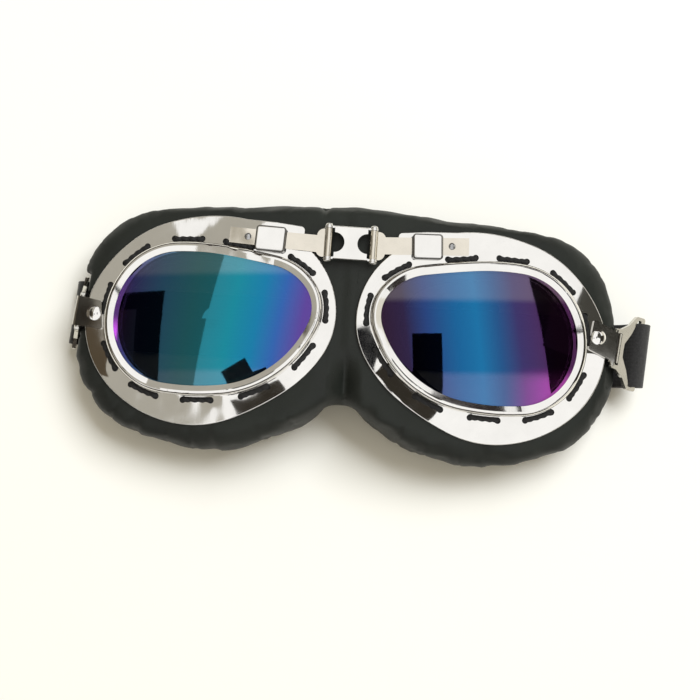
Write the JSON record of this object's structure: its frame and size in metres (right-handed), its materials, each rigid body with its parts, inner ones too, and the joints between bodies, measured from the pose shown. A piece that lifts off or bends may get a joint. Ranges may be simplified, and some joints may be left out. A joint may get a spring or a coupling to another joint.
{
  "type": "aviator goggles",
  "caption": "Aviator flying goggles with chromed oval eye frames, mirrored lenses, padded face cushions, a hinged bridge and an elastic strap on swinging rings.",
  "frame": {"origin": "on the surface that the goggles lie on, in the middle between the eyes, level with the middle of the lenses", "axes": "+X to the right as seen from the front, +Y up the face towards the brow, +Z forward out of the lenses"},
  "size_m": [0.22, 0.0938, 0.0319],
  "materials": {
    "bridge_link": "bright chrome",
    "nose_gusset": "black leather cloth over foam",
    "hinge_pin_left": "bright chrome",
    "hinge_pin_right": "bright chrome",
    "frame_left": "bright chrome",
    "frame_right": "bright chrome",
    "lens_left": "blue and purple mirror coating",
    "lens_right": "blue and purple mirror coating",
    "lens_retainer_left": "matte black",
    "lens_retainer_right": "matte black",
    "cushion_left": "black leather cloth over foam",
    "cushion_right": "black leather cloth over foam",
    "stitching_left": "waxed black thread",
    "stitching_right": "waxed black thread",
    "bridge_tongue_left": "bright chrome",
    "bridge_tongue_right": "bright chrome",
    "tongue_keeper_left": "bright chrome",
    "tongue_keeper_right": "bright chrome",
    "tongue_rivet_left": "steel",
    "tongue_rivet_right": "steel",
    "strap_bracket_left": "bright chrome",
    "strap_bracket_right": "bright chrome",
    "bracket_rivet_left": "bright chrome",
    "bracket_rivet_right": "bright chrome",
    "strap_ring_left": "bright chrome",
    "strap_ring_right": "bright chrome",
    "strap_loop_left": "woven elastic webbing",
    "strap_loop_right": "woven elastic webbing",
    "strap_band_left": "woven elastic webbing",
    "strap_band_right": "woven elastic webbing",
    "strap_return_right": "woven elastic webbing",
    "strap_slider": "black",
    "strap_tail": "woven elastic webbing"
  },
  "bodies": {
    "bridge": {"bridge_link": "bridge_link", "hinge_pin_left": "hinge_pin_left", "hinge_pin_right": "hinge_pin_right", "nose_gusset": "nose_gusset"},
    "eye_left": {"frame_left": "frame_left", "lens_left": "lens_left", "lens_retainer_left": "lens_retainer_left", "cushion_left": "cushion_left", "stitching_left": "stitching_left", "bridge_tongue_left": "bridge_tongue_left", "tongue_keeper_left": "tongue_keeper_left", "tongue_rivet_left": "tongue_rivet_left", "strap_bracket_left": "strap_bracket_left", "bracket_rivet_left": "bracket_rivet_left", "strap_band_left": "strap_band_left"},
    "eye_right": {"frame_right": "frame_right", "lens_right": "lens_right", "lens_retainer_right": "lens_retainer_right", "cushion_right": "cushion_right", "stitching_right": "stitching_right", "bridge_tongue_right": "bridge_tongue_right", "tongue_keeper_right": "tongue_keeper_right", "tongue_rivet_right": "tongue_rivet_right", "strap_bracket_right": "strap_bracket_right", "bracket_rivet_right": "bracket_rivet_right", "strap_band_right": "strap_band_right", "strap_return_right": "strap_return_right"},
    "ring_left": {"strap_ring_left": "strap_ring_left", "strap_loop_left": "strap_loop_left"},
    "ring_right": {"strap_ring_right": "strap_ring_right", "strap_loop_right": "strap_loop_right"},
    "slider": {"strap_slider": "strap_slider", "strap_tail": "strap_tail"}
  },
  "joints": [
    {"name": "hinge_left", "type": "hinge", "parent": "bridge", "child": "eye_left", "pos_m": [-0.0082, 0.0299, 0.03], "axis": [0, -1, 0], "range_deg": [-6, 12], "deforming": ["nose_gusset", "strap_band_left", "strap_band_right"]},
    {"name": "hinge_right", "type": "hinge", "parent": "bridge", "child": "eye_right", "pos_m": [0.0082, 0.0299, 0.03], "axis": [0, 1, 0], "range_deg": [-6, 12], "deforming": ["nose_gusset", "strap_band_left", "strap_band_right"]},
    {"name": "ring_hinge_left", "type": "hinge", "parent": "eye_left", "child": "ring_left", "pos_m": [-0.09913, 0.0002, 0.01783], "axis": [-0.1074, -0.9942, -0.0113], "range_deg": [-58, 2], "deforming": ["strap_band_left"]},
    {"name": "ring_hinge_right", "type": "hinge", "parent": "eye_right", "child": "ring_right", "pos_m": [0.10002, -0.0005, 0.01774], "axis": [0.1126, 0.9936, -0.0118], "range_deg": [-40, 15], "deforming": ["strap_band_right", "strap_return_right"]},
    {"name": "slider_slide", "type": "slide", "parent": "eye_right", "child": "slider", "axis": [1, 0, 0], "range_m": [-0.004, 0.018], "deforming": ["strap_band_right", "strap_return_right"]}
  ]
}
